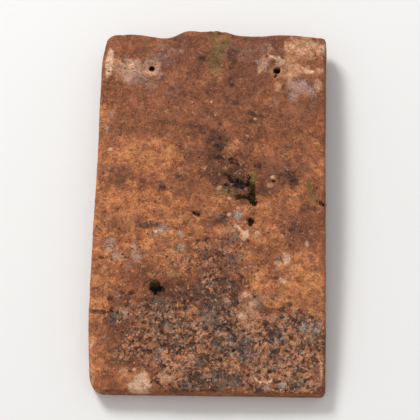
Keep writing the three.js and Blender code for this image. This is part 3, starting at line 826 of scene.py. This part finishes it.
# The clay itself, where nothing else covers it.
BARE_CLAY = "#8E573A"

# Coats over the clay, from the first to the last: colour, mark, how much of the coat there is where the mark
# is 0 and where it is 1 (0.5 covers half), the width in mm of its pattern, how strongly the pattern breaks it
# up, how soft its border is, and how much it hides.
COATS = (
    ("#BF7246", "orange", 0.02, 0.97, 18.0, 0.35, 0.50, 0.85),
    ("#D08C59", "orange", -0.15, 0.66, 5.0, 0.90, 0.45, 0.75),
    ("#6B412F", "exposed", 0.08, 0.22, 16.0, 0.90, 0.50, 0.55),
    ("#A8664A", "exposed", 0.20, 0.30, 8.0, 0.90, 0.50, 0.60),
    ("#744737", "smoke", -0.10, 0.95, 12.0, 0.40, 0.60, 0.75),
    ("#5F3828", "exposed", 0.02, 0.14, 4.0, 0.95, 0.40, 0.60),
    ("#AC8F84", "lilac", -0.35, 0.80, 4.0, 0.60, 0.65, 0.75),
    ("#573425", "film", -0.20, 0.95, 6.0, 0.70, 0.55, 0.85),
    ("#4A332A", "grit", -0.60, 0.38, 12.0, 0.90, 0.25, 0.62),
    ("#BC7D53", "grit", -0.60, 0.38, 9.0, 0.90, 0.25, 0.66),
    ("#6A5F58", "ash", -0.30, 0.85, 5.0, 0.70, 0.45, 0.70),
    ("#6C5D53", "grit", -0.60, 0.32, 6.0, 0.90, 0.40, 0.60),
    ("#BD8668", "worn", -0.25, 0.95, 3.0, 0.70, 0.45, 0.85),
    ("#C88C69", "grit", -0.45, 0.34, 3.6, 1.00, 0.28, 0.75),
    ("#33251F", "grit", -0.45, 0.30, 3.2, 1.00, 0.28, 0.80),
    ("#483730", "film", -1.30, 0.68, 3.0, 0.80, 0.50, 0.60),
    ("#C4906C", "buff", -0.15, 1.15, 6.0, 0.40, 0.60, 0.88),
    ("#DFB496", "buff", -1.20, 0.80, 3.0, 0.55, 0.55, 0.80),
    ("#6E6238", "green", -0.15, 0.85, 9.0, 0.40, 0.60, 0.62),
)

# Specks strewn over them: colour, mark, the share of cells that hold one where the mark is 0 and where it is
# 1, the cells' size in mm, the specks' radius as a share of it, how much they hide, and how far in mm they
# stand up.
SPECKS = (
    ("#C48662", "grit", 0.02, 0.28, 2.8, 0.66, 0.55, 0.15),
    ("#CC8A5C", "orange", 0.03, 0.30, 2.2, 0.60, 0.45, 0.12),
    ("#5C392C", "exposed", 0.05, 0.10, 2.6, 0.58, 0.45, -0.12),
    ("#7A6A62", "grit", -0.10, 0.28, 3.4, 0.66, 0.60, 0.10),
    ("#33231C", "grit", -0.02, 0.26, 2.5, 0.62, 0.70, -0.16),
    ("#3E2C25", "film", 0.01, 0.20, 2.6, 0.58, 0.60, -0.12),
    ("#D6A080", "grit", -0.02, 0.12, 2.0, 0.58, 0.75, 0.12),
    ("#2C1F19", "exposed", 0.00, 0.03, 2.4, 0.46, 0.85, -0.14),
)

# Crusts, and the near black painted into the hollows, lie over everything else, in the coats' form.
COVERINGS = (
    ("#8A8279", "crust", -0.20, 0.90, 2.0, 0.60, 0.30, 0.80),
    ("#B7A999", "crust", -0.70, 0.60, 1.2, 0.60, 0.25, 0.60),
    # Near black painted into the pits, cracks and pinholes.
    ("#1D1410", "hollow", -0.25, 1.05, 2.2, 0.70, 0.40, 0.95),
)

# The specks' cells are bent by a pattern this many mm wide, and this strongly against their own size. They
# are this much finer for every kind before theirs, so that no two kinds line up.
BEND_SIZE = 2.2
CELL_BEND = 1.6
FINER = 0.03
# The smallest speck's radius as a share of the widest's, how softly the cells that hold one are chosen, and
# between which shares of its cell a speck's border runs.
SMALLEST_SPECK = 0.35
CHOICE = 0.04
SPECK_BORDER = (-0.08, 0.12)

# The grains' width and height in mm, and how they and broader clouds shade the clay: width, detail, strength.
GRAIN_SIZE = 0.9
GRAIN_HEIGHT = 0.07
SHADES = ((GRAIN_SIZE, 4.0, 0.51), (4.5, 3.0, 0.28), (13.0, 3.0, 0.19))

# Fired clay, sanded on its face and weathered: matt, with grains of sand that catch the light.
skin = new_material("fired_clay_sanded")
place = add(skin, "TexCoord")["Object"]
marked = {name: add(skin, "Attribute", {"attribute_name": name})["Fac"] for name in marks}
ragged = add(skin, "TexNoise", Vector=place, Scale=1 / (BEND_SIZE * MM), Detail=5.0, Roughness=0.7)["Color"]
shift = add(skin, "VectorMath", {"operation": "SUBTRACT"}, ragged, (0.5, 0.5, 0.5))[0]


def coated(colour, coats):
    """The clay's colour under these coats."""
    for shade, mark, least, most, size, strength, soft, hides in coats:
        amount = add(skin, "Math", SUM, marked[mark], most - least, least)[0]
        level = add(skin, "Math", SUM, clouds(skin, place, size), strength, amount)[0]
        cover = add(skin, "MapRange", RAMP, level, 0.5 - soft, 0.5 + soft, 0.0, hides)[0]
        colour = add(skin, "Mix", BLEND, cover, _6=colour, _7=linear(shade))[2]
    return colour


def specked(colour, height, specks):
    """The clay's colour and height with these specks on it. Of a cell's random numbers, the first says
    whether it holds a speck, and the second how wide that is."""
    for number, (shade, mark, least, most, size, reach, hides, stands) in enumerate(specks):
        bent = add(skin, "VectorMath", SUM, shift, (CELL_BEND * size * MM,) * 3, place)[0]
        cells = add(skin, "TexVoronoi", Vector=bent, Scale=(1 + FINER * number) / (size * MM))
        first, second, _ = add(skin, "SeparateColor", None, cells["Color"])
        share = add(skin, "Math", SUM, marked[mark], most - least, least)[0]
        spare = add(skin, "Math", SUM, first, -1.0, share)[0]
        chosen = add(skin, "MapRange", RAMP, spare, 0.0, CHOICE)[0]
        radius = add(skin, "Math", SUM, second, (1 - SMALLEST_SPECK) * reach, SMALLEST_SPECK * reach)[0]
        left = add(skin, "Math", SUM, cells["Distance"], -1.0, radius)[0]
        inside = add(skin, "MapRange", RAMP, left, *SPECK_BORDER)[0]
        speck = add(skin, "Math", SUM, chosen, inside, 0.0)[0]
        cover = add(skin, "Math", SUM, speck, hides, 0.0)[0]
        colour = add(skin, "Mix", BLEND, cover, _6=colour, _7=linear(shade))[2]
        height = add(skin, "Math", SUM, speck, stands * MM, height)[0]
    return colour, height


sand = add(skin, "Math", SUM, clouds(skin, place, GRAIN_SIZE), GRAIN_HEIGHT * MM, 0.0)[0]
colour, height = specked(coated(linear(BARE_CLAY), COATS), sand, SPECKS)
colour = coated(colour, COVERINGS)
shade = 1.0
for size, detail, strength in SHADES:
    shade = add(skin, "Math", SUM, clouds(skin, place, size, detail), strength, shade)[0]
colour = add(skin, "Mix", {**BLEND, "blend_type": "MULTIPLY"}, 1.0, _6=colour, _7=shade)[2]
bump = add(skin, "Bump", Height=height, Strength=1.0, Distance=1.0)[0]
surface(tile, skin, Base_Color=colour, Roughness=0.9, Specular_IOR_Level=0.2, Normal=bump)
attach(tile, "root")
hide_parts("roof_tile")

# ---------- Moss ----------

SHOOT_SIDES = 5
# A shoot's rings from root to tip, as shares of its length and of its half width. The half width is the first
# number in mm and the second as a share of the length. The root lies this far under the face.
SHOOT_RINGS = ((0.0, 0.5), (0.35, 1.0), (0.7, 0.6))
SHOOT_HALF_WIDTH = (0.22, 0.09)
ROOT_DEPTH = 0.5
# How far a cushion's outline swells in three lobes and in five, and how far its rim leans out.
LOBES = (0.16, 0.1)
RIM_LEAN = 0.8


def moss_shoots(roots, directions, lengths, half_widths):
    """Little closed spindles, one from each root: rings of points about its direction, and a point for the
    tip. With them comes the share of the way to the tip of each of a spindle's points."""
    directions = unit(directions)
    side = unit(np.cross(directions, [1.0, 0.3, 0.0]))
    other = np.cross(directions, side)
    turn = full_turn(SHOOT_SIDES)[:, None]
    rises, reaches = np.array(SHOOT_RINGS).T
    middles = roots[:, None] + directions[:, None] * (lengths[:, None] * rises)[..., None]
    outwards = side[:, None] * np.cos(turn) + other[:, None] * np.sin(turn)
    rings = middles[:, :, None] + (half_widths[:, None] * reaches)[..., None, None] * outwards[:, None]
    tips = (roots + directions * lengths[:, None])[:, None]
    points = np.concatenate([rings.reshape(len(roots), -1, 3), tips], axis=1)
    index = numbered(points)
    ring = index[:, :-1].reshape(len(roots), len(rises), SHOOT_SIDES)
    after = np.roll(ring, -1, axis=2)
    walls = np.stack([ring[:, :-1], after[:, :-1], after[:, 1:], ring[:, 1:]], axis=-1).reshape(-1, 4)
    tops = np.stack([ring[:, -1], after[:, -1], np.repeat(index[:, -1:], SHOOT_SIDES, axis=1)], axis=-1)
    share = np.append(np.repeat(rises, SHOOT_SIDES), 1.0)
    return points.reshape(-1, 3), [walls, tops.reshape(-1, 3), ring[:, 0, ::-1]], share


def on_face(across, along):
    """Points on the face, or rather a root's depth under it."""
    return np.stack([across, along, arch(across, along) + THICKNESS - ROOT_DEPTH], axis=-1)


def cushion(centre, radius, count, rise, fresh_and_lit):
    """The shoots of a cushion, as roots, leans, lengths and freshness: strewn evenly over a lobed disc,
    tallest in the middle, splayed outwards, and freshest in the middle. The head's side, towards the lamp, is
    made fresher and so paler as painted light."""
    out, turn = radius * np.sqrt(chance.random(count)), 2 * np.pi * chance.random(count)
    out *= 1 + LOBES[0] * np.sin(3 * turn + 1) + LOBES[1] * np.sin(5 * turn)
    spread = np.stack([np.cos(turn), np.sin(turn)], axis=-1) * out[:, None]
    share = out / radius
    lean = np.column_stack([spread / radius * RIM_LEAN, np.ones(count)]) + chance.normal(0, 0.2, (count, 3))
    height = rise * (1 - 0.55 * share**2) * chance.uniform(0.7, 1.2, count)
    # Painted light: the head's side of the cushion, towards the lamp, gets up to about 1.9 times the
    # freshness, so its tips are paler.
    lit = fresh_and_lit * (1 - 0.5 * share**2) * (1 + 0.9 * spread[:, 1] / radius) * chance.uniform(0.7, 1.3, count)
    return on_face(centre[0] + spread[:, 0], centre[1] + spread[:, 1]), lean, height, lit


def trail(start, end, spread, count, rise, fresh_and_lit):
    """The shoots along a line, in the same form: closest in its middle, and fresh by a value at each end."""
    share = chance.beta(1.5, 1.5, count)
    middle = np.outer(1 - share, start) + np.outer(share, end) + chance.normal(0, spread / 2, (count, 2))
    lean = np.stack([chance.normal(0, 0.45, count), chance.normal(0.1, 0.45, count), np.ones(count)], axis=-1)
    lit = (fresh_and_lit[0] * (1 - share) + fresh_and_lit[1] * share) * chance.uniform(0.7, 1.3, count)
    return on_face(middle[:, 0], middle[:, 1]), lean, rise * chance.uniform(0.6, 1.2, count), lit


chance = np.random.default_rng(7)
tufts = [
    cushion((-37.7, 75.8), 3.2, 420, 2.8, 0.75),
    # The next three trails have no freshness at all and stand black: a painted shadow under the cushion, on
    # its tail side away from the lamp.
    trail((-40, 73.6), (-36.4, 71.9), 2.1, 180, 1.8, (0, 0)),
    trail((-38, 72.4), (-32.2, 73.6), 2, 190, 1.6, (0, 0)),
    trail((-38.9, 72), (-38, 68.4), 1.9, 90, 1.2, (0, 0)),
    trail((31, 158.5), (29.6, 149.5), 1.5, 170, 1.3, (2.6, 1.6)),
    trail((29.8, 151.5), (29.4, 140), 2.2, 270, 1.6, (1.1, 0.35)),
    cushion((30.8, 137.9), 3.6, 280, 1.4, 0.8),
    trail((28, 139.2), (17, 141.8), 1.9, 250, 1.2, (0.35, 0.9)),
    cushion((33.6, 141.8), 1.3, 30, 1, 2.6),
    cushion((15.8, 142.4), 2.2, 90, 1, 2),
    cushion((9.4, 143), 1.9, 60, 0.8, 3.2),
    trail((27.4, 156.8), (27, 151), 1.4, 110, 1, (0, 0)),
    trail((13.6, 146.6), (12.8, 143), 1.2, 40, 1, (0.3, 0.3)),
    trail((70, 151), (71.5, 142), 1.4, 60, 1, (2, 1.2)),
    trail((75.5, 138.5), (80.5, 135), 1.8, 130, 1.2, (0.7, 0.2)),
    trail((-65, 58), (-62, 53), 1.4, 40, 0.9, (1, 1)),
]
roots, leans, lengths, fresh_and_lit = (np.concatenate(parts) for parts in zip(*tufts))
half_widths = SHOOT_HALF_WIDTH[0] + SHOOT_HALF_WIDTH[1] * lengths
points, face_groups, share = moss_shoots(roots, leans, lengths, half_widths)
moss = mesh_object("moss_tufts", in_place(points), face_groups)
moss.data.shade_smooth()
# The tip mark is freshness along each shoot, with the painted light and shadow of the tufts in it.
keep_mark(moss, "tip", np.outer(fresh_and_lit, share).ravel())

# Moss, half dried: black at the roots, painted shade where the shoots stand close, brown where they have
# dried, and olive at fresh tips. Its freshness also carries painted light and a painted shadow from the tufts
# above.
moss_material = new_material("moss_half_dried_and_shaded")
freshness_and_light = add(moss_material, "Attribute", {"attribute_name": "tip"})["Fac"]
dried = add(moss_material, "MapRange", RAMP, freshness_and_light, 0.1, 0.7)[0]
olive = add(moss_material, "MapRange", RAMP, freshness_and_light, 0.6, 1.5)[0]
brown = add(moss_material, "Mix", BLEND, dried, _6=linear("#1C120B"), _7=linear("#553A16"))[2]
colour = add(moss_material, "Mix", BLEND, olive, _6=brown, _7=linear("#A08A50"))[2]
surface(moss, moss_material, Base_Color=colour, Roughness=0.9, Specular_IOR_Level=0.2)
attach(moss, "root")

# ---------- Floor, light and camera ----------

FLOOR_SIZE = 6.0
# One square lamp beyond the head, on the left, is aimed at the tile, and a white sky lights the shadows.
LAMP_PLACE = Vector((-1.2, 1.9, 1.9))
LAMP_SIZE = 0.9
LAMP_WATTS = 60
SKY_STRENGTH = 0.55
# The camera looks down on the tile from its tail, a little from the right, with the tile's width level.
CAMERA_DISTANCE = 2.0
CAMERA_DIRECTION = Vector((0.08, -0.326, 0.942)).normalized()
FRAME_HEIGHT = 0.300
SENSOR_WIDTH = 36.0

corners = np.array([[-1, -1, 0], [1, -1, 0], [1, 1, 0], [-1, 1, 0]]) * FLOOR_SIZE / 2
floor = mesh_object("floor", corners, [np.arange(4)[None]])
surface(floor, new_material("floor_paint"), Base_Color=linear("#F4F3F1"), Roughness=0.9)

world = bpy.data.worlds.new("studio")
world.use_nodes = True
sky = world.node_tree.nodes["Background"].inputs
sky["Color"].default_value = (1, 1, 1, 1)
sky["Strength"].default_value = SKY_STRENGTH
bpy.context.scene.world = world

lamp_data = bpy.data.lights.new("key_light", "AREA")
lamp_data.size, lamp_data.energy = LAMP_SIZE, LAMP_WATTS
lamp = bpy.data.objects.new("key_light", lamp_data)
lamp.location = LAMP_PLACE
lamp.rotation_euler = (-LAMP_PLACE).to_track_quat("-Z", "Y").to_euler()
bpy.context.scene.collection.objects.link(lamp)

camera_data = bpy.data.cameras.new("camera")
camera_data.sensor_width = SENSOR_WIDTH
camera_data.lens = SENSOR_WIDTH * CAMERA_DISTANCE / FRAME_HEIGHT
camera = bpy.data.objects.new("camera", camera_data)
target = Vector(((tile_low + tile_high) / 2).tolist())
level = (Vector((1, 0, 0)) - CAMERA_DIRECTION.x * CAMERA_DIRECTION).normalized()
upward = CAMERA_DIRECTION.cross(level)
turn = Matrix((level, upward, CAMERA_DIRECTION)).transposed()
camera.matrix_world = Matrix.Translation(target + CAMERA_DIRECTION * CAMERA_DISTANCE) @ turn.to_4x4()
bpy.context.scene.collection.objects.link(camera)
bpy.context.scene.camera = camera
bpy.context.scene.view_settings.view_transform = "Standard"
